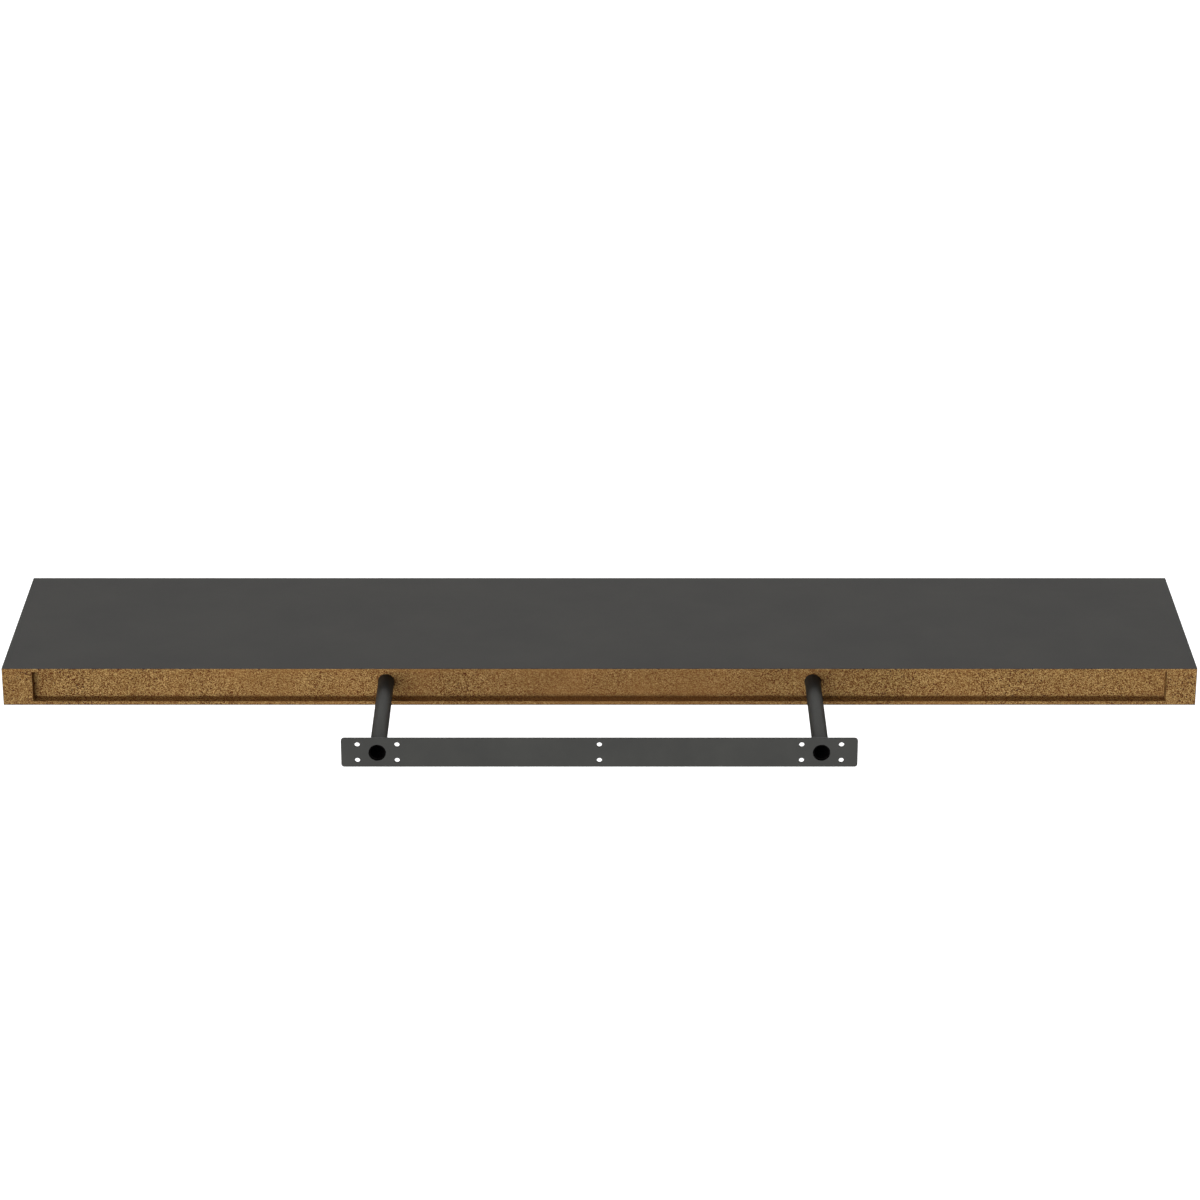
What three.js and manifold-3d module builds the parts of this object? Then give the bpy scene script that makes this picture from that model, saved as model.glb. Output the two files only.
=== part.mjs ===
// A floating wall shelf and its concealed bracket, in millimetres, +Z up.
// The origin is the centre of the wall plate's wall face. The wall is the plane Y = 0 and the shelf reaches
// towards -Y, into the room. Left and right are as seen from the room: left is -X and right is +X.

import * as THREE from 'three';
import { mergeVertices } from 'three/addons/utils/BufferGeometryUtils.js';
import Module from 'manifold-3d';

const wasm = await Module();
wasm.setup();

// ---------------------------------------------------------------- driving dimensions

const shelfLength = 1200;
const shelfDepth = 240;
const shelfThickness = 40;
const pulledOut = 158; // how far the shelf stands off the wall while it is being fitted

const laminateThickness = 0.5;
const edgeBandThickness = 0.25;
const skinThickness = 4; // face board and laminate together
const stileWidth = 30; // end stile and edge band together
const frontRailWidth = 30; // front rail and edge band together
const recessDepth = 12; // from the wall-side face to the back rail
const backRailWidth = 20;

const plateLength = 500;
const plateHeight = 30;
const plateThickness = 3;
const plateCornerRadius = 3;

const rodSpacing = 430;
const rodDiameter = 16;
const rodWall = 1.25;
const rodReach = 196; // from the wall to the free end
const rodSetBack = 1.5; // the rod's wall-side end stays clear of the wall

const screwHoleDiameter = 5.2;
const screwRowSpacing = 16.5;
const screwFromRod = 19.25;

const plateBoreClearance = 0.6; // wider than the rod
const railBoreClearance = 1; // wider than the rod
const guideBlockWidth = 60;

const weldSize = 3.5;
const weldHollow = 0.35; // how far the fillet's face sinks in, as a share of its size
const weldToe = 0.5; // the fillet's thickness at its thin edges
const weldFitGap = 0.3; // between the fillet and the rod
const weldSeatGap = 0.125; // between the fillet and the plate

const coreWall = 1.2;
const coreCell = 36;

const roundSegments = 48;
const smallHoleSegments = 24;
const cornerSegments = 6;
const cutterOverrun = 1; // how far a cutting solid passes the faces that it cuts
const mergeTolerance = 1e-4;

// ---------------------------------------------------------------- worked-out dimensions

const halfLength = shelfLength / 2;
const halfThickness = shelfThickness / 2;
const boardHalfLength = halfLength - edgeBandThickness;
const boardDepth = shelfDepth - edgeBandThickness;
const laminateHalfHeight = halfThickness - laminateThickness;
const hollowHalfHeight = halfThickness - skinThickness;
const bayHalfLength = halfLength - stileWidth;
const railFace = -recessDepth;
const railBack = -(recessDepth + backRailWidth);
const frontRailFace = -(shelfDepth - frontRailWidth);
const rodX = rodSpacing / 2;
const plateBoreDiameter = rodDiameter + plateBoreClearance;
const railBoreDiameter = rodDiameter + railBoreClearance;
const blockInner = rodX - guideBlockWidth / 2;
const blockOuter = rodX + guideBlockWidth / 2;

// ---------------------------------------------------------------- materials

function finish(color, roughness, metalness) {
  return new THREE.MeshStandardMaterial({ color, roughness, metalness });
}

const coatedSteel = () => finish(0x4a4a49, 0.55, 0.3);
const bareWeld = () => finish(0x454544, 0.6, 0.3);
const rawBoard = () => finish(0x8d6b42, 0.9, 0);
const darkLaminate = () => finish(0x4d4c4a, 0.5, 0);
const kraftPaper = () => finish(0xb08a5a, 0.95, 0);

// ---------------------------------------------------------------- geometry helpers

function solidOf(geometry) {
  const positionsOnly = geometry.clone();
  positionsOnly.deleteAttribute('normal');
  positionsOnly.deleteAttribute('uv');
  const merged = mergeVertices(positionsOnly, mergeTolerance);
  const mesh = new wasm.Mesh({
    numProp: 3,
    vertProperties: new Float32Array(merged.attributes.position.array),
    triVerts: new Uint32Array(merged.index.array),
  });
  return new wasm.Manifold(mesh);
}

function geometryOf(solid) {
  const mesh = solid.getMesh();
  const geometry = new THREE.BufferGeometry();
  geometry.setAttribute('position', new THREE.BufferAttribute(mesh.vertProperties, 3));
  geometry.setIndex(new THREE.BufferAttribute(mesh.triVerts, 1));
  geometry.computeVertexNormals();
  return geometry;
}

// A box between two limits on each axis.
function boxBetween(x, y, z) {
  const geometry = new THREE.BoxGeometry(x[1] - x[0], y[1] - y[0], z[1] - z[0]);
  geometry.translate((x[0] + x[1]) / 2, (y[0] + y[1]) / 2, (z[0] + z[1]) / 2);
  return geometry;
}

// A round plug along Y between two limits, used to cut bores.
function plugAlongY(x, y, diameter) {
  const geometry = new THREE.CylinderGeometry(diameter / 2, diameter / 2, y[1] - y[0], roundSegments);
  geometry.translate(x, (y[0] + y[1]) / 2, 0);
  return geometry;
}

// A ring turned about Y from a closed half-section of [radius, y] corners.
function turnedAboutY(corners) {
  const profile = corners.map(([radius, y]) => new THREE.Vector2(radius, y));
  profile.push(profile[0].clone());
  return new THREE.LatheGeometry(profile, roundSegments);
}

function namedMesh(name, geometry, material) {
  const mesh = new THREE.Mesh(geometry, material);
  mesh.name = name;
  return mesh;
}

// ---------------------------------------------------------------- bracket

function roundedStrip(length, height, radius) {
  const shape = new THREE.Shape();
  const right = length / 2;
  const top = height / 2;
  shape.moveTo(-right + radius, -top);
  shape.lineTo(right - radius, -top);
  shape.absarc(right - radius, -top + radius, radius, -Math.PI / 2, 0, false);
  shape.lineTo(right, top - radius);
  shape.absarc(right - radius, top - radius, radius, 0, Math.PI / 2, false);
  shape.lineTo(-right + radius, top);
  shape.absarc(-right + radius, top - radius, radius, Math.PI / 2, Math.PI, false);
  shape.lineTo(-right, -top + radius);
  shape.absarc(-right + radius, -top + radius, radius, Math.PI, 1.5 * Math.PI, false);
  return shape;
}

function roundHole(x, z, diameter, segments) {
  const hole = new THREE.Path();
  for (let step = 0; step < segments; step += 1) {
    const angle = (-2 * Math.PI * step) / segments;
    const across = x + (diameter / 2) * Math.cos(angle);
    const up = z + (diameter / 2) * Math.sin(angle);
    if (step === 0) {
      hole.moveTo(across, up);
    } else {
      hole.lineTo(across, up);
    }
  }
  hole.closePath();
  return hole;
}

// Two rows of screw holes: one column at the middle, and one on each side of each rod.
function screwColumns() {
  const besideRod = [rodX - screwFromRod, rodX + screwFromRod];
  return [0, ...besideRod, ...besideRod.map((x) => -x)];
}

function wallPlate() {
  const outline = roundedStrip(plateLength, plateHeight, plateCornerRadius);
  for (const side of [-1, 1]) {
    outline.holes.push(roundHole(side * rodX, 0, plateBoreDiameter, roundSegments));
  }
  for (const x of screwColumns()) {
    for (const row of [-1, 1]) {
      outline.holes.push(roundHole(x, (row * screwRowSpacing) / 2, screwHoleDiameter, smallHoleSegments));
    }
  }
  const options = { depth: plateThickness, bevelEnabled: false, curveSegments: cornerSegments };
  const geometry = new THREE.ExtrudeGeometry(outline, options);
  return geometry.rotateX(Math.PI / 2);
}

// The rods are open tubes, lightly chamfered at both ends.
function rodTube() {
  const outer = rodDiameter / 2;
  const inner = outer - rodWall;
  const chamfer = 0.5;
  const wallEnd = -rodSetBack;
  const freeEnd = -rodReach;
  return turnedAboutY([
    [inner, wallEnd],
    [inner, freeEnd],
    [outer - chamfer, freeEnd],
    [outer, freeEnd + chamfer],
    [outer, wallEnd - chamfer],
    [outer - chamfer, wallEnd],
  ]);
}

// A concave fillet round the rod, on the plate's shelf side.
function rodWeld() {
  const inner = rodDiameter / 2 + weldFitGap;
  const outer = inner + weldSize;
  const seat = -plateThickness - weldSeatGap;
  const crown = seat - weldSize;
  const sunk = weldSize * weldHollow;
  return turnedAboutY([
    [inner, seat],
    [inner, crown],
    [inner + weldToe, crown],
    [inner + sunk, seat - sunk],
    [outer, seat - weldToe],
    [outer, seat],
  ]);
}

function makeBracket() {
  const bracket = new THREE.Group();
  bracket.add(namedMesh('bracket_plate', wallPlate(), coatedSteel()));
  for (const [side, word] of [[-1, 'left'], [1, 'right']]) {
    const rod = namedMesh(`rod_${word}`, rodTube(), coatedSteel());
    rod.position.x = side * rodX;
    bracket.add(rod);
    const weld = namedMesh(`rod_weld_${word}`, rodWeld(), bareWeld());
    weld.position.x = side * rodX;
    bracket.add(weld);
  }
  return bracket;
}

// ---------------------------------------------------------------- shelf

// Spans across X for a piece that has a mirrored twin. Side is -1 for left and 1 for right.
function mirroredSpan(side, inner, outer) {
  return side < 0 ? [-outer, -inner] : [inner, outer];
}

function facePanel(side) {
  const z = mirroredSpan(side, hollowHalfHeight, laminateHalfHeight);
  return boxBetween([-boardHalfLength, boardHalfLength], [-boardDepth, 0], z);
}

function laminate(side) {
  const z = mirroredSpan(side, laminateHalfHeight, halfThickness);
  return boxBetween([-halfLength, halfLength], [-shelfDepth, 0], z);
}

function endStile(side) {
  const x = mirroredSpan(side, bayHalfLength, boardHalfLength);
  return boxBetween(x, [-boardDepth, 0], [-hollowHalfHeight, hollowHalfHeight]);
}

function endBand(side) {
  const x = mirroredSpan(side, boardHalfLength, halfLength);
  return boxBetween(x, [-boardDepth, 0], [-laminateHalfHeight, laminateHalfHeight]);
}

function frontBand() {
  const z = [-laminateHalfHeight, laminateHalfHeight];
  return boxBetween([-halfLength, halfLength], [-shelfDepth, -boardDepth], z);
}

function frontRail() {
  const z = [-hollowHalfHeight, hollowHalfHeight];
  return boxBetween([-bayHalfLength, bayHalfLength], [-boardDepth, frontRailFace], z);
}

// The back rail closes the hollow behind the recess and is drilled for both rods.
function backRail() {
  const z = [-hollowHalfHeight, hollowHalfHeight];
  let rail = solidOf(boxBetween([-bayHalfLength, bayHalfLength], [railBack, railFace], z));
  for (const side of [-1, 1]) {
    const cutterSpan = [railBack - cutterOverrun, railFace + cutterOverrun];
    const cutter = plugAlongY(side * rodX, cutterSpan, railBoreDiameter);
    rail = rail.subtract(solidOf(cutter));
  }
  return geometryOf(rail);
}

// A guide block runs from rail to rail and carries the rod along its whole length.
function guideBlock(side) {
  const x = mirroredSpan(side, blockInner, blockOuter);
  const z = [-hollowHalfHeight, hollowHalfHeight];
  const block = solidOf(boxBetween(x, [frontRailFace, railBack], z));
  const cutterSpan = [frontRailFace - cutterOverrun, railBack + cutterOverrun];
  const cutter = plugAlongY(side * rodX, cutterSpan, railBoreDiameter);
  return geometryOf(block.subtract(solidOf(cutter)));
}

// A hexagonal cell of the core, stretched so that whole rows and columns fill the bay.
function coreCellPlug(centreX, centreY, width, height) {
  const outline = new THREE.Shape();
  for (let corner = 0; corner < 6; corner += 1) {
    const angle = (Math.PI / 3) * corner;
    const x = centreX + (width / 2) * Math.cos(angle);
    const y = centreY + (height / Math.sqrt(3)) * Math.sin(angle);
    if (corner === 0) {
      outline.moveTo(x, y);
    } else {
      outline.lineTo(x, y);
    }
  }
  outline.closePath();
  const cutHeight = 2 * (hollowHalfHeight + cutterOverrun);
  const geometry = new THREE.ExtrudeGeometry(outline, { depth: cutHeight, bevelEnabled: false });
  return geometry.translate(0, 0, -cutHeight / 2);
}

// An expanded paper honeycomb that fills one bay, with a glued strip of paper round its edge.
// Columns of cells stand three quarters of a cell's width apart, and every other column is half a row higher.
function honeycomb(x) {
  const y = [frontRailFace, railBack];
  const z = [-hollowHalfHeight, hollowHalfHeight];
  const length = x[1] - x[0];
  const depth = y[1] - y[0];
  const columnShare = 0.75;
  const columns = 2 * Math.round(length / (2 * columnShare * coreCell));
  const rows = Math.round(depth / coreCell);
  const columnPitch = length / columns;
  const rowPitch = depth / rows;
  const cellWidth = columnPitch / columnShare - coreWall;
  const cellHeight = rowPitch - coreWall;

  let cells = null;
  for (let column = 0; column <= columns; column += 1) {
    const lift = column % 2 === 0 ? 0 : 0.5;
    for (let row = 0; row <= rows; row += 1) {
      const centreX = x[0] + column * columnPitch;
      const centreY = y[0] + (row + lift) * rowPitch;
      const cell = solidOf(coreCellPlug(centreX, centreY, cellWidth, cellHeight));
      cells = cells === null ? cell : cells.add(cell);
    }
  }
  const insideX = [x[0] + coreWall, x[1] - coreWall];
  const insideY = [y[0] + coreWall, y[1] - coreWall];
  const inside = solidOf(boxBetween(insideX, insideY, [z[0] - cutterOverrun, z[1] + cutterOverrun]));
  const slab = solidOf(boxBetween(x, y, z));
  return geometryOf(slab.subtract(cells.intersect(inside)));
}

function makeShelf() {
  const shelf = new THREE.Group();
  shelf.add(namedMesh('top_panel', facePanel(1), rawBoard()));
  shelf.add(namedMesh('bottom_panel', facePanel(-1), rawBoard()));
  shelf.add(namedMesh('top_laminate', laminate(1), darkLaminate()));
  shelf.add(namedMesh('bottom_laminate', laminate(-1), darkLaminate()));
  shelf.add(namedMesh('front_rail', frontRail(), rawBoard()));
  shelf.add(namedMesh('back_rail', backRail(), rawBoard()));
  shelf.add(namedMesh('edge_band_front', frontBand(), darkLaminate()));
  for (const [side, word] of [[-1, 'left'], [1, 'right']]) {
    shelf.add(namedMesh(`end_stile_${word}`, endStile(side), rawBoard()));
    shelf.add(namedMesh(`edge_band_${word}`, endBand(side), darkLaminate()));
    shelf.add(namedMesh(`rod_block_${word}`, guideBlock(side), rawBoard()));
    const bay = mirroredSpan(side, blockOuter, bayHalfLength);
    shelf.add(namedMesh(`core_${word}`, honeycomb(bay), kraftPaper()));
  }
  shelf.add(namedMesh('core_centre', honeycomb([-blockInner, blockInner]), kraftPaper()));
  shelf.position.y = -pulledOut;
  return shelf;
}

// ---------------------------------------------------------------- assembly

const wallShelf = new THREE.Group();
wallShelf.add(makeBracket());
wallShelf.add(makeShelf());

export default wallShelf;
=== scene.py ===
"""The looks of a floating wall shelf and its concealed bracket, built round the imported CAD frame.

Everything is in metres in the part's own frame: +Z up, the wall is the plane Y = 0 and the shelf
reaches towards -Y. Left and right are as seen from the room, so left is towards -X.
"""

import math
import random

import bmesh
import bpy
from mathutils import Matrix, Vector


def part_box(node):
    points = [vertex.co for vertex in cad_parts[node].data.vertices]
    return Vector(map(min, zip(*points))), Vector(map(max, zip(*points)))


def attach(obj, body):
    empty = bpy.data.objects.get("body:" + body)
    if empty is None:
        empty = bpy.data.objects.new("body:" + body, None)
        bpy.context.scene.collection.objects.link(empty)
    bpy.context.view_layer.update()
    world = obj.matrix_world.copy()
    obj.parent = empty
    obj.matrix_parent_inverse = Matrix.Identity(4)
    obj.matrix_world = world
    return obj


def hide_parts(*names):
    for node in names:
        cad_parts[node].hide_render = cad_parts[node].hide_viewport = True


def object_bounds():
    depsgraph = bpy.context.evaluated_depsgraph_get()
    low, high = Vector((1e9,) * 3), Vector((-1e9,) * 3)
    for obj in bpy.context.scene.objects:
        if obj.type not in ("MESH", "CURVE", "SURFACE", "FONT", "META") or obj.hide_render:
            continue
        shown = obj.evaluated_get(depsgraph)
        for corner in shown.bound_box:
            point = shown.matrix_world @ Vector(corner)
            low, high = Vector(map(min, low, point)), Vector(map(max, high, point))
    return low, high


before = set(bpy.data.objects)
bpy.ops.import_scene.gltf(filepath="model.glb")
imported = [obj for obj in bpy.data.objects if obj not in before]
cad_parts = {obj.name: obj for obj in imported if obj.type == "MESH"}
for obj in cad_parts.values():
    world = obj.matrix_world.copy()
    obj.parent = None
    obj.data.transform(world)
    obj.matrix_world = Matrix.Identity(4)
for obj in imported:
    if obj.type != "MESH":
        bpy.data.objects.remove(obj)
cad_low, cad_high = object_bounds()

MM = 0.001
SIDES = ("left", "right")
rng = random.Random(41)

# ---------------------------------------------------------------- places and sizes, from the frame

plate_low, plate_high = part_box("bracket_plate")
rail_low, rail_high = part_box("back_rail")
top_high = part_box("top_laminate")[1]
rod_boxes = {side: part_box(f"rod_{side}") for side in SIDES}
weld_boxes = {side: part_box(f"rod_weld_{side}") for side in SIDES}

rod_x = {side: (low.x + high.x) / 2 for side, (low, high) in rod_boxes.items()}
rod_radius = (rod_boxes["right"][1].x - rod_boxes["right"][0].x) / 2


# ---------------------------------------------------------------- colours

def srgb(red, green, blue):
    """A colour given as 0 to 255 display values, as linear light."""
    def linear(value):
        share = value / 255
        return share / 12.92 if share <= 0.04045 else ((share + 0.055) / 1.055) ** 2.4
    return (linear(red), linear(green), linear(blue))


def shifted_tone(display, steps):
    """A display colour with a step added to each channel, kept between 0 and 255."""
    return tuple(max(0, min(255, channel + step)) for channel, step in zip(display, steps))


def scaled(color, factor):
    """A colour with every channel times a factor."""
    return tuple(channel * factor for channel in color)


def opaque(color):
    """A plain colour with full alpha. A socket stays as it is."""
    return color if isinstance(color, bpy.types.NodeSocket) else (*color, 1)


# ---------------------------------------------------------------- node helpers

# Most of a noise texture's values lie between these two.
NOISE_LOW = 0.3
NOISE_HIGH = 0.7

# The Mix node's colour sockets, by place, because its other sockets have the same names.
MIX_FACTOR = 0
MIX_A = 6
MIX_B = 7
MIX_RESULT = 2


class Nodes:
    """A short way to write a material's node tree."""

    def __init__(self, name):
        self.material = bpy.data.materials.new(name)
        self.material.use_nodes = True
        self.tree = self.material.node_tree
        self.shader = self.tree.nodes["Principled BSDF"]

    def add(self, kind, inputs=None, **settings):
        """A new node with its settings. Each input is linked to a socket or given a plain value."""
        node = self.tree.nodes.new(kind)
        for key, value in settings.items():
            setattr(node, key, value)
        for key, value in (inputs or {}).items():
            if isinstance(value, bpy.types.NodeSocket):
                self.tree.links.new(value, node.inputs[key])
            else:
                node.inputs[key].default_value = value
        return node

    def place(self, stretch=(1, 1, 1), turn=(0, 0, 0)):
        """The point's own place in the part's frame, in metres, stretched and then turned.

        The turn gives a layer another pattern than its neighbours have. It doesn't slant the pattern.
        """
        coords = self.add("ShaderNodeTexCoord")
        inputs = {"Vector": coords.outputs["Object"], "Scale": stretch, "Rotation": turn}
        return self.add("ShaderNodeMapping", inputs).outputs["Vector"]

    def noise(self, place, size, detail=2.0, roughness=0.5):
        """Noise from 0 to 1, with features of about that size in metres."""
        inputs = {"Vector": place, "Scale": 1 / size, "Detail": detail, "Roughness": roughness}
        return self.add("ShaderNodeTexNoise", inputs).outputs["Fac"]

    def cells(self, place, size):
        """A Voronoi texture with cells of about that size in metres."""
        return self.add("ShaderNodeTexVoronoi", {"Vector": place, "Scale": 1 / size})

    def draw(self, cells, channel="Red"):
        """A random value from 0 to 1 for each cell. Each channel is a draw of its own."""
        color = cells.outputs["Color"]
        return self.add("ShaderNodeSeparateColor", {"Color": color}).outputs[channel]

    def math(self, operation, a, b=0.0, clamp=False):
        """Arithmetic on one or two values, kept between 0 and 1 where it is clamped."""
        inputs = {0: a, 1: b}
        return self.add("ShaderNodeMath", inputs, operation=operation, use_clamp=clamp).outputs[0]

    def span(self, value, low, high, to_low=0.0, to_high=1.0):
        """A value carried from one range to another, and held at the ends."""
        inputs = {"Value": value, "From Min": low, "From Max": high, "To Min": to_low, "To Max": to_high}
        return self.add("ShaderNodeMapRange", inputs).outputs["Result"]

    def swing(self, noise, low, high):
        """A value that goes from low to high with a noise."""
        return self.span(noise, NOISE_LOW, NOISE_HIGH, low, high)

    def ramp(self, value, stops):
        """A colour ramp through (position, colour) stops."""
        node = self.add("ShaderNodeValToRGB", {"Fac": value})
        elements = node.color_ramp.elements
        while len(elements) < len(stops):
            elements.new(0.5)
        for element, (position, color) in zip(elements, stops):
            element.position = position
            element.color = (*color, 1)
        return node.outputs["Color"]

    def mix(self, factor, a, b, blend="MIX"):
        """Two colours mixed."""
        inputs = {MIX_FACTOR: factor, MIX_A: opaque(a), MIX_B: opaque(b)}
        node = self.add("ShaderNodeMix", inputs, data_type="RGBA", blend_type=blend)
        return node.outputs[MIX_RESULT]

    def shade(self, base, noise, darkest, palest, start=NOISE_LOW, end=NOISE_HIGH):
        """A plain colour made darker and paler by a noise."""
        return self.ramp(noise, [(start, scaled(base, darkest)), (end, scaled(base, palest))])

    def tint(self, color, value, first, last, start=NOISE_LOW, end=NOISE_HIGH):
        """A colour times a tint, which goes from first to last as the value goes from start to end."""
        return self.mix(1.0, color, self.ramp(value, [(start, first), (end, last)]), "MULTIPLY")

    def bump(self, height, depth):
        """Surface relief of about that depth in metres where height runs from 0 to 1."""
        inputs = {"Height": height, "Distance": depth, "Strength": 1.0}
        return self.add("ShaderNodeBump", inputs).outputs["Normal"]

    def finish(self, color, roughness, normal, **constants):
        """Links the colour, roughness and relief, and sets the other values on the shader's own sockets."""
        for key, value in (("Base Color", color), ("Roughness", roughness), ("Normal", normal)):
            self.tree.links.new(value, self.shader.inputs[key])
        for key, value in constants.items():
            self.shader.inputs[key.replace("_", " ")].default_value = value
        return self.material


# ---------------------------------------------------------------- raw board

# Display tones. The first two are steps from the board's mean tone.
PALE_GRAIN = (62, 68, 50)
DARK_GRAIN = (-72, -78, -46)
DARK_SPECK = (62, 34, 36)

# How far from the middle of the length the board is at its calmest, and where it is fully busy. Inside the
# first the colour is also painted paler, and past the second a little darker, as painted light that evens
# out the bracket plate's cast shadow.
CALM_REACH = 120 * MM
BUSY_REACH = 300 * MM

# Sizes in grains.
DUST_SIZE = 0.7
FLAKE_SIZE = 2.2
SPECK_SPACING = 3.2
SLIVER_SIZE = 8

# How far each layer moves the tone, up or down.
GRAIN_SHARE = 0.5
FLAKE_SHARE = 0.22
DUST_SHARE = 0.3

SPECK_STRENGTH = 0.8
SLIVER_STRENGTH = 0.8


def board_strength(n, towards_end, contrast):
    """How strongly the grains show: more in some patches than in others, and more towards the ends."""
    patches = n.noise(n.place(stretch=(-1, 1, 1)), size=110 * MM)
    by_patch = n.span(patches, 0.38, 0.62, to_low=0.55, to_high=1.45)
    by_length = n.span(towards_end, 0, 1, to_low=0.92, to_high=1.18)
    return n.math("MULTIPLY", n.math("MULTIPLY", by_patch, by_length), contrast)


def board_level(n, place, grain, strength):
    """How pale the board is, 0 to 1 about a mean of 0.5: grains, larger flattened flakes, and dust."""
    flattened = n.place(stretch=(1, 1, 1.8), turn=(0, math.radians(35), 0))
    grains = n.draw(n.cells(place, grain))
    flakes = n.draw(n.cells(flattened, grain * FLAKE_SIZE))
    dust = n.noise(place, grain * DUST_SIZE, roughness=0.6)
    by_grain = n.span(grains, 0, 1, -GRAIN_SHARE, GRAIN_SHARE)
    by_flake = n.span(flakes, 0, 1, -FLAKE_SHARE, FLAKE_SHARE)
    by_dust = n.swing(dust, -DUST_SHARE, DUST_SHARE)
    tone = n.math("ADD", n.math("ADD", by_grain, by_flake), by_dust)
    return n.math("ADD", n.math("MULTIPLY", tone, strength), 0.5, clamp=True)


def board_specks(n, place, grain, strength):
    """1 in a speck and 0 elsewhere. Half of the cells have a speck, and its width is drawn at random."""
    cells = n.cells(place, grain * SPECK_SPACING)
    reach = n.span(n.draw(cells, "Green"), 0.5, 1.0, to_low=0.0, to_high=0.4)
    return n.math("LESS_THAN", cells.outputs["Distance"], n.math("MULTIPLY", reach, strength))


def board_slivers(n, grain):
    """Over 0 in a few long, thin, level slivers and 0 elsewhere."""
    flattened = n.place(stretch=(1, 1, 9), turn=(0, math.radians(28), 0))
    slivers = n.noise(flattened, grain * SLIVER_SIZE, detail=1, roughness=0.4)
    return n.span(slivers, 0.78, 0.84, to_low=0, to_high=SLIVER_STRENGTH)


def board_material(name, middle, grain, contrast):
    """Raw sawn fibreboard: pressed grains and flakes, small dark specks and a few pale slivers.

    Middle is the mean display tone, grain the size of a grain in metres and contrast how far grains
    stray from the mean. Near the middle of the length, X = 0, the grains are calmer. There the colour is
    also painted a little paler, and towards the ends a little darker, as painted light that evens out
    the bracket plate's cast shadow on the rail.
    """
    n = Nodes(name)
    place = n.place()
    from_middle = n.math("ABSOLUTE", n.add("ShaderNodeSeparateXYZ", {"Vector": place}).outputs["X"])
    towards_end = n.span(from_middle, CALM_REACH, BUSY_REACH)
    strength = board_strength(n, towards_end, contrast)
    level = board_level(n, place, grain, strength)
    speck = n.math("MULTIPLY", board_specks(n, place, grain, strength), SPECK_STRENGTH)
    dark = srgb(*shifted_tone(middle, DARK_GRAIN))
    pale = srgb(*shifted_tone(middle, PALE_GRAIN))
    cloud = n.noise(place, size=45 * MM, detail=3, roughness=0.6)

    color = n.ramp(level, [(0.0, dark), (0.5, srgb(*middle)), (1.0, pale)])
    color = n.mix(speck, color, srgb(*DARK_SPECK))
    color = n.mix(board_slivers(n, grain), color, pale)
    color = n.tint(color, cloud, (0.93, 0.93, 0.92), (1.07, 1.07, 1.08))
    # Painted light: paler near the middle of the length and a little darker towards the ends, evening out
    # the bracket plate's cast shadow on the rail.
    color = n.tint(color, towards_end, (1.1, 1.1, 1.13), (0.97, 0.97, 0.97), start=0.0, end=1.0)

    roughness = n.span(level, 0, 1, to_low=0.95, to_high=0.78)
    relief = n.bump(n.math("SUBTRACT", level, speck), depth=0.2 * MM)
    return n.finish(color, roughness, relief, Specular_IOR_Level=0.2)


# ---------------------------------------------------------------- the other materials

def laminate_material():
    """Dark grey laminate: a fine pressed grain, a faint cloudiness, and faint long streaks in its gloss."""
    n = Nodes("dark_laminate")
    place = n.place()
    grain = n.noise(place, size=0.9 * MM, detail=3, roughness=0.65)
    cloud = n.noise(place, size=70 * MM, detail=3, roughness=0.55)
    drag = n.noise(n.place(stretch=(1, 14, 14)), size=50 * MM)
    color = n.shade(srgb(74, 73, 71), grain, darkest=0.92, palest=1.08)
    color = n.tint(color, cloud, (0.95, 0.95, 0.96), (1.05, 1.05, 1.04))
    roughness = n.math("ADD", n.swing(grain, 0.53, 0.57), n.swing(drag, -0.006, 0.006))
    relief = n.bump(grain, depth=0.015 * MM)
    return n.finish(color, roughness, relief, Specular_IOR_Level=0.035)


def powder_coat_material(name, base):
    """Dark powder coat over steel: orange peel, a fine fleck and faint rub marks along the rods."""
    n = Nodes(name)
    place = n.place()
    peel = n.noise(place, size=1.6 * MM)
    fleck = n.noise(place, size=0.5 * MM, detail=1)
    cloud = n.noise(place, size=50 * MM, detail=3, roughness=0.6)
    rub = n.noise(n.place(stretch=(1, 0.04, 1)), size=1.1 * MM, roughness=0.6)
    color = n.shade(base, fleck, darkest=0.85, palest=1.15, start=0.25, end=0.75)
    color = n.tint(color, cloud, (0.93, 0.93, 0.94), (1.07, 1.07, 1.06))
    color = n.mix(n.span(rub, 0.68, 0.78, to_low=0.0, to_high=0.35), color, scaled(base, 1.8))
    roughness = n.swing(cloud, 0.46, 0.56)
    height = n.math("ADD", peel, n.math("MULTIPLY", fleck, 0.3))
    relief = n.bump(height, depth=0.06 * MM)
    return n.finish(color, roughness, relief, Metallic=0.0, Specular_IOR_Level=0.03)


def bore_shade_material():
    """Near-black painted shade for the inside of the tubes, their wall ends and the walls of the plate's
    rod holes, with drawn marks in its roughness and relief.
    """
    n = Nodes("bore_painted_shade")
    shade_mottle = n.noise(n.place(), size=3 * MM, detail=4, roughness=0.6)
    drawn = n.noise(n.place(stretch=(1, 0.05, 1)), size=0.8 * MM)
    color = n.ramp(shade_mottle, [(NOISE_LOW, (0.002, 0.002, 0.002)), (NOISE_HIGH, (0.006, 0.005, 0.005))])
    roughness = n.swing(drawn, 0.7, 0.9)
    relief = n.bump(drawn, depth=0.04 * MM)
    return n.finish(color, roughness, relief, Specular_IOR_Level=0.05)


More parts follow.
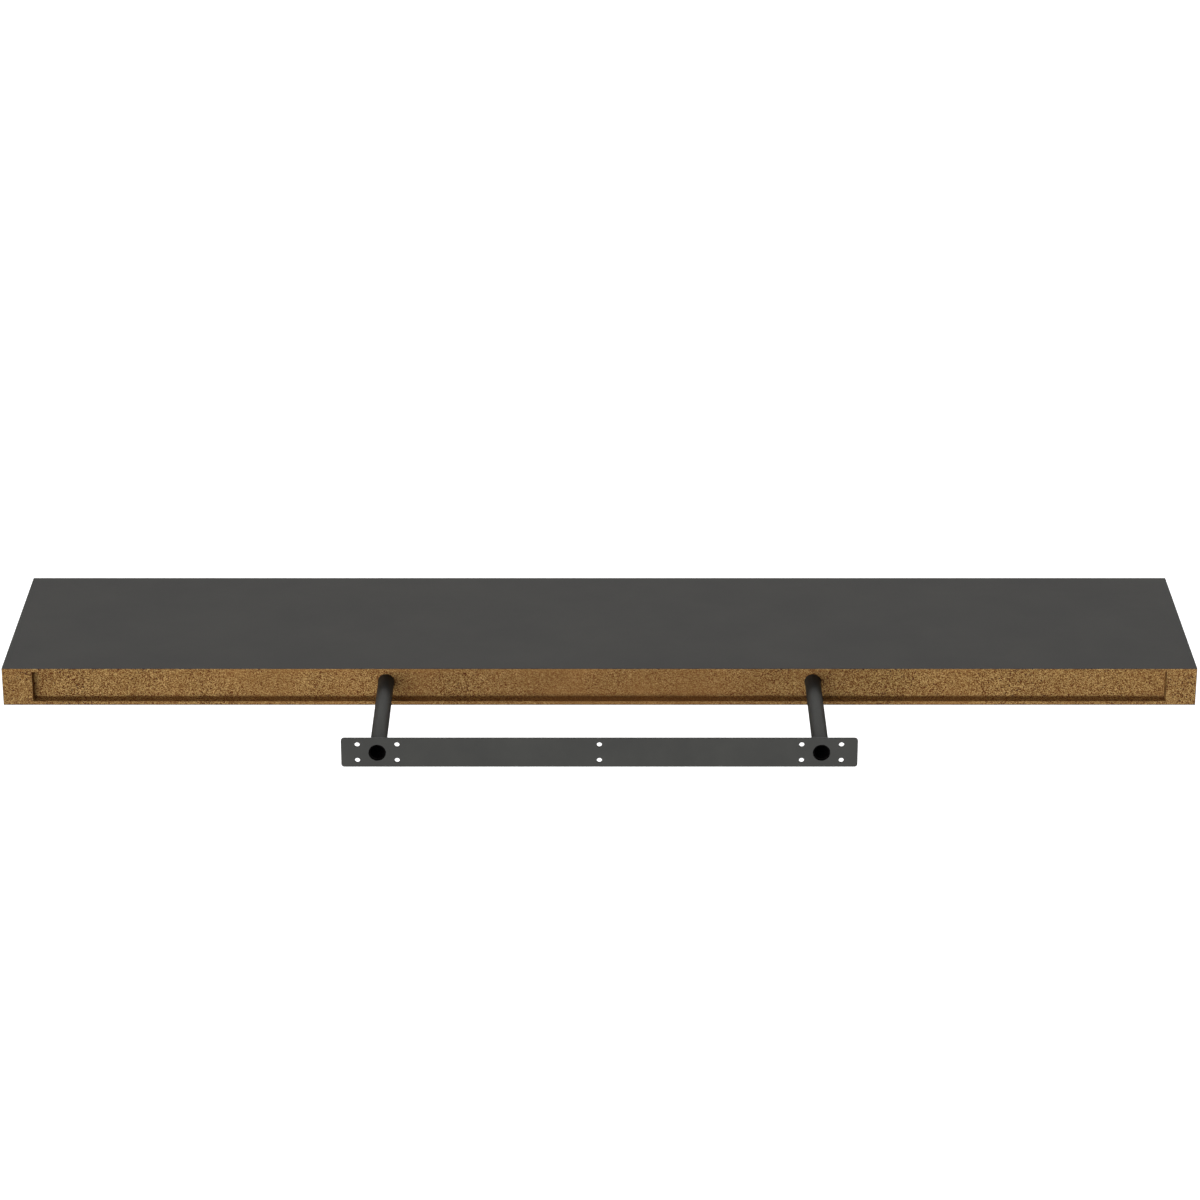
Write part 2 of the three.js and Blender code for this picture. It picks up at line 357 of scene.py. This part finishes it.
def kraft_material():
    """Brown kraft paper with fibres running along the sheet."""
    n = Nodes("kraft_paper")
    fibre = n.noise(n.place(stretch=(1, 1, 4)), size=1.2 * MM, detail=4, roughness=0.65)
    cloud = n.noise(n.place(), size=30 * MM, detail=3, roughness=0.6)
    color = n.shade(srgb(168, 132, 88), fibre, darkest=0.8, palest=1.15)
    color = n.tint(color, cloud, (0.92, 0.92, 0.92), (1.08, 1.07, 1.05))
    roughness = n.swing(cloud, 0.85, 0.95)
    relief = n.bump(fibre, depth=0.05 * MM)
    return n.finish(color, roughness, relief, Specular_IOR_Level=0.2)


coat = powder_coat_material("coated_steel", srgb(79, 79, 77))
weld_coat = powder_coat_material("coated_weld", srgb(74, 74, 73))
# Near-black painted shade for the inside of the tubes, their wall ends and the plate's rod holes.
bore = bore_shade_material()
board = board_material("raw_board", (149, 108, 63), grain=0.65 * MM, contrast=0.9)
skin_board = board_material("skin_board", (153, 111, 65), grain=0.6 * MM, contrast=0.75)
dark_laminate = laminate_material()
kraft = kraft_material()


# ---------------------------------------------------------------- mesh helpers

def show(name, mesh, body, nodes, materials, sharp_degrees=35):
    """Puts a mesh into the scene as the piece that stands for some CAD nodes."""
    mesh.name = name
    for material in materials:
        mesh.materials.append(material)
    mesh.polygons.foreach_set("use_smooth", [True] * len(mesh.polygons))
    mesh.set_sharp_from_angle(angle=math.radians(sharp_degrees))
    piece = bpy.data.objects.new(name, mesh)
    bpy.context.scene.collection.objects.link(piece)
    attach(piece, body)
    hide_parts(*nodes)


def arc(centre, radius, start, end, steps):
    """Points along an arc about a centre, with its angles in degrees."""
    points = []
    for step in range(steps + 1):
        angle = math.radians(start + (end - start) * step / steps)
        points.append((centre[0] + radius * math.cos(angle), centre[1] + radius * math.sin(angle)))
    return points


def turned(profile, centre_x, segments, ripple=None):
    """A closed ring turned about the line X = centre_x, Z = 0 from a closed profile.

    The profile's points are (radius, y). Ripple gives what is added to each radius.
    """
    build = bmesh.new()
    rings = []
    for step in range(segments):
        angle = 2 * math.pi * step / segments
        ring = []
        for index, (radius, y) in enumerate(profile):
            reach = radius + (ripple(angle, index) if ripple else 0)
            ring.append(build.verts.new((centre_x + reach * math.cos(angle), y, reach * math.sin(angle))))
        rings.append(ring)
    count = len(profile)
    for step in range(segments):
        here = rings[step]
        there = rings[(step + 1) % segments]
        for index in range(count):
            after = (index + 1) % count
            build.faces.new((here[index], here[after], there[after], there[index]))
    bmesh.ops.recalc_face_normals(build, faces=build.faces)
    mesh = bpy.data.meshes.new("turned")
    build.to_mesh(mesh)
    build.free()
    return mesh


def circle_loop(x, z, radius, points, jitter=0.0):
    """Points round a circle, each one moved in or out by up to jitter."""
    loop = []
    for step in range(points):
        angle = 2 * math.pi * step / points
        reach = radius + rng.uniform(-jitter, jitter)
        loop.append((x + reach * math.cos(angle), z + reach * math.sin(angle)))
    return loop


def rounded_rectangle_loop(low, high, radius, steps):
    """Points round a rectangle with rounded corners, centred on X = 0, Z = 0."""
    corners = [(high.x, high.z, 0), (low.x, high.z, 90), (low.x, low.z, 180), (high.x, low.z, 270)]
    loop = []
    for x, z, start in corners:
        inward = (x - math.copysign(radius, x), z - math.copysign(radius, z))
        loop.extend(arc(inward, radius, start, start + 90, steps))
    return loop


def sheet_with_holes(loops, low_y, high_y, rounding):
    """A flat sheet between two values of Y, from an outline and its holes, with rounded rims.

    Loops are lists of (x, z) points, the outline first.
    """
    curve = bpy.data.curves.new("sheet", "CURVE")
    curve.dimensions = "2D"
    curve.fill_mode = "BOTH"
    curve.extrude = (high_y - low_y) / 2 - rounding
    curve.bevel_depth = rounding
    curve.bevel_resolution = 2
    curve.offset = -rounding
    for loop in loops:
        spline = curve.splines.new("POLY")
        spline.points.add(len(loop) - 1)
        spline.use_cyclic_u = True
        for point, (x, z) in zip(spline.points, loop):
            point.co = (x, z, 0, 1)
    holder = bpy.data.objects.new("sheet", curve)
    bpy.context.scene.collection.objects.link(holder)
    bpy.context.view_layer.update()
    evaluated = holder.evaluated_get(bpy.context.evaluated_depsgraph_get())
    mesh = bpy.data.meshes.new_from_object(evaluated)
    bpy.data.objects.remove(holder)
    mesh.transform(Matrix.Rotation(math.radians(90), 4, "X"))
    mesh.transform(Matrix.Translation((0, (low_y + high_y) / 2, 0)))
    mesh.materials.clear()
    return mesh


# ---------------------------------------------------------------- bracket

# Sizes that the frame's boxes don't give.
PLATE_CORNER_RADIUS = 3 * MM
PLATE_RIM = 0.3 * MM
PLATE_BORE_RADIUS = 8.3 * MM
SCREW_HOLE_RADIUS = 2.6 * MM
SCREW_FROM_ROD = 19.25 * MM
SCREW_FROM_MIDLINE = 8.25 * MM

ROD_WALL = 1.25 * MM
ROD_OUTER_EASE = 0.5 * MM
ROD_INNER_EASE = 0.25 * MM

# The bead sinks a little into the tube and the plate, so that no gap shows. Its ripples go round the tube
# and lean over by an angle, in radians, from one point of the profile to the next. The two wanders make it
# uneven, and the lowering keeps it about as big as a plain round bead.
WELD_SINK = 0.1 * MM
WELD_RIPPLES = 30
WELD_RIPPLE_HEIGHT = 0.32 * MM
WELD_RIPPLE_LEAN = 0.18
WELD_SLOW_WANDER = 0.25 * MM
WELD_QUICK_WANDER = 0.15 * MM
WELD_LOWERING = 0.3 * MM

# The places of the two materials on the plate and on the tubes: the powder coat, and a near-black painted
# shade in the holes.
COATED = 0
SHADE_BLACK = 1


def make_plate():
    """The steel strip: punched holes and softly rounded rims under the powder coat."""
    loops = [rounded_rectangle_loop(plate_low, plate_high, PLATE_CORNER_RADIUS, steps=8)]
    screw_columns = [0.0]
    for x in rod_x.values():
        loops.append(circle_loop(x, 0, PLATE_BORE_RADIUS, points=64))
        screw_columns += [x - SCREW_FROM_ROD, x + SCREW_FROM_ROD]
    for x in screw_columns:
        for z in (-SCREW_FROM_MIDLINE, SCREW_FROM_MIDLINE):
            loops.append(circle_loop(x, z, SCREW_HOLE_RADIUS, points=32))
    mesh = sheet_with_holes(loops, plate_low.y, plate_high.y, PLATE_RIM)
    # The walls of the rod holes get the near-black painted shade.
    shade_reach = PLATE_BORE_RADIUS + 0.1 * MM
    for polygon in mesh.polygons:
        reach = min(math.hypot(polygon.center.x - x, polygon.center.z) for x in rod_x.values())
        polygon.material_index = SHADE_BLACK if reach < shade_reach else COATED
    show("wall_strip", mesh, "bracket", ["bracket_plate"], [coat, bore])


def make_rod(side):
    """A tube with rounded cut ends, coated outside, and coloured near black as painted shade inside and at
    its wall end.
    """
    low, high = rod_boxes[side]
    outer_x = rod_radius - ROD_OUTER_EASE
    inner_x = rod_radius - ROD_WALL + ROD_INNER_EASE
    outline = []
    outline += arc((outer_x, high.y - ROD_OUTER_EASE), ROD_OUTER_EASE, 0, 90, 4)
    outline += arc((inner_x, high.y - ROD_INNER_EASE), ROD_INNER_EASE, 90, 180, 3)
    outline += arc((inner_x, low.y + ROD_INNER_EASE), ROD_INNER_EASE, 180, 270, 3)
    outline += arc((outer_x, low.y + ROD_OUTER_EASE), ROD_OUTER_EASE, 270, 360, 4)
    mesh = turned(outline, rod_x[side], segments=96)
    for polygon in mesh.polygons:
        reach = math.hypot(polygon.center.x - rod_x[side], polygon.center.z)
        at_wall_end = polygon.center.y > high.y - ROD_OUTER_EASE
        # Inside and at the wall end: near-black painted shade.
        polygon.material_index = SHADE_BLACK if reach < inner_x or at_wall_end else COATED
    show(f"tube_{side}", mesh, "bracket", [f"rod_{side}"], [coat, bore])


def make_weld(side):
    """A rippled weld bead that fills the corner between the tube and the plate."""
    reach = weld_boxes[side][1].x - rod_x[side] - rod_radius
    sunk_radius = rod_radius - WELD_SINK
    sunk_points = [(sunk_radius, plate_low.y + WELD_SINK), (sunk_radius, plate_low.y - reach)]
    profile = sunk_points + arc((rod_radius, plate_low.y), reach, 270, 360, 7)[1:]
    phase = rng.uniform(0, math.tau)

    def ripple(angle, index):
        """How far a point of the profile stands out past the plain round bead."""
        if index < len(sunk_points):
            return 0.0
        lift = math.sin((index - 1) / len(profile) * math.pi)
        wave = abs(math.sin(angle * WELD_RIPPLES / 2 + phase + WELD_RIPPLE_LEAN * index))
        wander = WELD_SLOW_WANDER * math.sin(3 * angle + phase) + WELD_QUICK_WANDER * math.sin(7 * angle)
        return (WELD_RIPPLE_HEIGHT * wave + wander - WELD_LOWERING) * lift

    mesh = turned(profile, rod_x[side], segments=240, ripple=ripple)
    show(f"weld_{side}", mesh, "bracket", [f"rod_weld_{side}"], [weld_coat], sharp_degrees=60)


def make_bracket():
    make_plate()
    for side in SIDES:
        make_rod(side)
        make_weld(side)


# ---------------------------------------------------------------- shelf

# The rail's bore is another size that the frame's boxes don't give.
RAIL_BORE_RADIUS = 8.5 * MM
RAIL_BORE_JITTER = 0.12 * MM

# How far each kind of edge is rounded.
BOARD_EASE = 0.15 * MM
BLOCK_EASE = 0.2 * MM
BAND_EASE = 0.08 * MM


def make_back_rail():
    """The recessed rail, with its drilled holes a little ragged at the rim."""
    low, high = rail_low, rail_high
    loops = [[(low.x, low.z), (high.x, low.z), (high.x, high.z), (low.x, high.z)]]
    for x in rod_x.values():
        loops.append(circle_loop(x, 0, RAIL_BORE_RADIUS, points=90, jitter=RAIL_BORE_JITTER))
    mesh = sheet_with_holes(loops, low.y, high.y, BOARD_EASE)
    show("drilled_rail", mesh, "shelf", ["back_rail"], [board])


def dress(node, material):
    """Gives a CAD node its material."""
    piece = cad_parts[node]
    piece.data.materials.clear()
    piece.data.materials.append(material)
    return piece


def ease_edges(nodes, material, ease):
    """Keeps CAD boards as they are, with their edges very slightly rounded."""
    for node in nodes:
        piece = dress(node, material)
        piece.modifiers.new("join_corners", "WELD").merge_threshold = 0.01 * MM
        bevel = piece.modifiers.new("ease", "BEVEL")
        bevel.width = ease
        bevel.segments = 2
        bevel.limit_method = "ANGLE"
        bevel.angle_limit = math.radians(40)


def make_shelf():
    make_back_rail()
    ease_edges(("top_panel", "bottom_panel"), skin_board, BOARD_EASE)
    ease_edges(("end_stile_left", "end_stile_right", "front_rail"), board, BOARD_EASE)
    ease_edges(("rod_block_left", "rod_block_right"), board, BLOCK_EASE)
    ease_edges(("top_laminate", "bottom_laminate"), dark_laminate, BOARD_EASE)
    ease_edges(("edge_band_front", "edge_band_left", "edge_band_right"), dark_laminate, BAND_EASE)
    for node in ("core_left", "core_centre", "core_right"):
        dress(node, kraft)


# ---------------------------------------------------------------- studio

CAMERA_TILT = math.radians(22.56)
CAMERA_LENS = 116.25
CAMERA_SIDESTEP = -0.0006
EDGE_DEPTH = 3.8876
EDGE_DROP = 0.06872
SURROUND_LIGHT = 0.1
FLOOR_DROP = 1.2
FLOOR_HALF = 40.0
FLOOR_BOUNCE = 0.1
FLOOR_GLOW = 0.65


def make_camera():
    """Behind the wall plane, looking down at the shelf's wall side.

    The shelf's upper wall-side edge lies EDGE_DEPTH along the line of sight and EDGE_DROP under it.
    """
    edge = Vector((0, top_high.y, top_high.z))
    forward = Vector((0, -math.cos(CAMERA_TILT), -math.sin(CAMERA_TILT)))
    upward = Vector((0, -math.sin(CAMERA_TILT), math.cos(CAMERA_TILT)))
    data = bpy.data.cameras.new("camera")
    data.lens = CAMERA_LENS
    data.sensor_width = 36
    data.clip_end = 100
    camera = bpy.data.objects.new("camera", data)
    camera.location = edge - forward * EDGE_DEPTH + upward * EDGE_DROP
    camera.location.x = CAMERA_SIDESTEP
    camera.rotation_mode = "QUATERNION"
    camera.rotation_quaternion = forward.to_track_quat("-Z", "Y")
    bpy.context.scene.collection.objects.link(camera)
    bpy.context.scene.camera = camera


def add_sun(name, towards, light, width, glossy=True):
    """A soft distant lamp that stands towards a direction and looks that many degrees wide.

    Light is what it gives to a surface that faces it, where a white surround gives 1. A lamp that
    isn't glossy adds no highlights.
    """
    data = bpy.data.lights.new(name, "SUN")
    data.energy = light * math.pi
    data.angle = math.radians(width)
    lamp = bpy.data.objects.new(name, data)
    lamp.rotation_mode = "QUATERNION"
    lamp.rotation_quaternion = Vector(towards).to_track_quat("Z", "Y")
    lamp.visible_glossy = glossy
    bpy.context.scene.collection.objects.link(lamp)


def make_lamps():
    """A soft lamp on the wall side, a wide and a narrower one on the room side, and a low fill at each end.

    The shelf itself keeps the low fills off the bracket.
    """
    add_sun("wall_side", (0.27, 1, 0.03), light=0.84, width=44, glossy=False)
    add_sun("room_wide", (0, -1, 0.45), light=0.28, width=56)
    add_sun("room_narrow", (0, -1, 0.385), light=1.23, width=26, glossy=False)
    add_sun("end_fill_right", (1, -0.5, 0), light=0.75, width=10)
    add_sun("end_fill_left", (-1, -0.5, 0), light=0.8, width=10)


def make_surround():
    """A faint white surround, which the camera itself sees as plain white."""
    world = bpy.data.worlds.new("surround")
    world.use_nodes = True
    tree = world.node_tree
    background = tree.nodes["Background"]
    background.inputs["Color"].default_value = (1, 1, 1, 1)
    seen = tree.nodes.new("ShaderNodeLightPath")
    strength = tree.nodes.new("ShaderNodeMapRange")
    strength.inputs["To Min"].default_value = SURROUND_LIGHT
    strength.inputs["To Max"].default_value = 1.0
    tree.links.new(seen.outputs["Is Camera Ray"], strength.inputs["Value"])
    tree.links.new(strength.outputs["Result"], background.inputs["Strength"])
    bpy.context.scene.world = world
    bpy.context.scene.view_settings.view_transform = "Standard"


def floor_material():
    """A plain floor that the camera sees as almost white, and that sends little light back."""
    n = Nodes("pale_floor")
    cloud = n.noise(n.place(), size=0.6)
    pale = n.ramp(cloud, [(NOISE_LOW, (0.93, 0.93, 0.93)), (NOISE_HIGH, (0.95, 0.95, 0.95))])
    seen = n.add("ShaderNodeLightPath").outputs["Is Camera Ray"]
    color = n.mix(seen, (FLOOR_BOUNCE,) * 3, pale)
    n.tree.links.new(pale, n.shader.inputs["Emission Color"])
    n.tree.links.new(n.math("MULTIPLY", seen, FLOOR_GLOW), n.shader.inputs["Emission Strength"])
    return n.finish(color, n.swing(cloud, 0.85, 0.9), n.bump(cloud, depth=0.1 * MM))


def make_floor():
    """The floor, well under the shelf, which hangs on a wall in use. It keeps no light off the shelf."""
    height = cad_low.z - FLOOR_DROP
    signs = ((-1, -1), (1, -1), (1, 1), (-1, 1))
    corners = [(x_sign * FLOOR_HALF, y_sign * FLOOR_HALF, height) for x_sign, y_sign in signs]
    mesh = bpy.data.meshes.new("floor")
    mesh.from_pydata(corners, [], [(0, 1, 2, 3)])
    mesh.materials.append(floor_material())
    floor = bpy.data.objects.new("floor", mesh)
    bpy.context.scene.collection.objects.link(floor)
    floor.visible_shadow = False


# ---------------------------------------------------------------- put together

make_camera()
make_lamps()
make_surround()
make_floor()
make_bracket()
make_shelf()

bpy.context.view_layer.update()
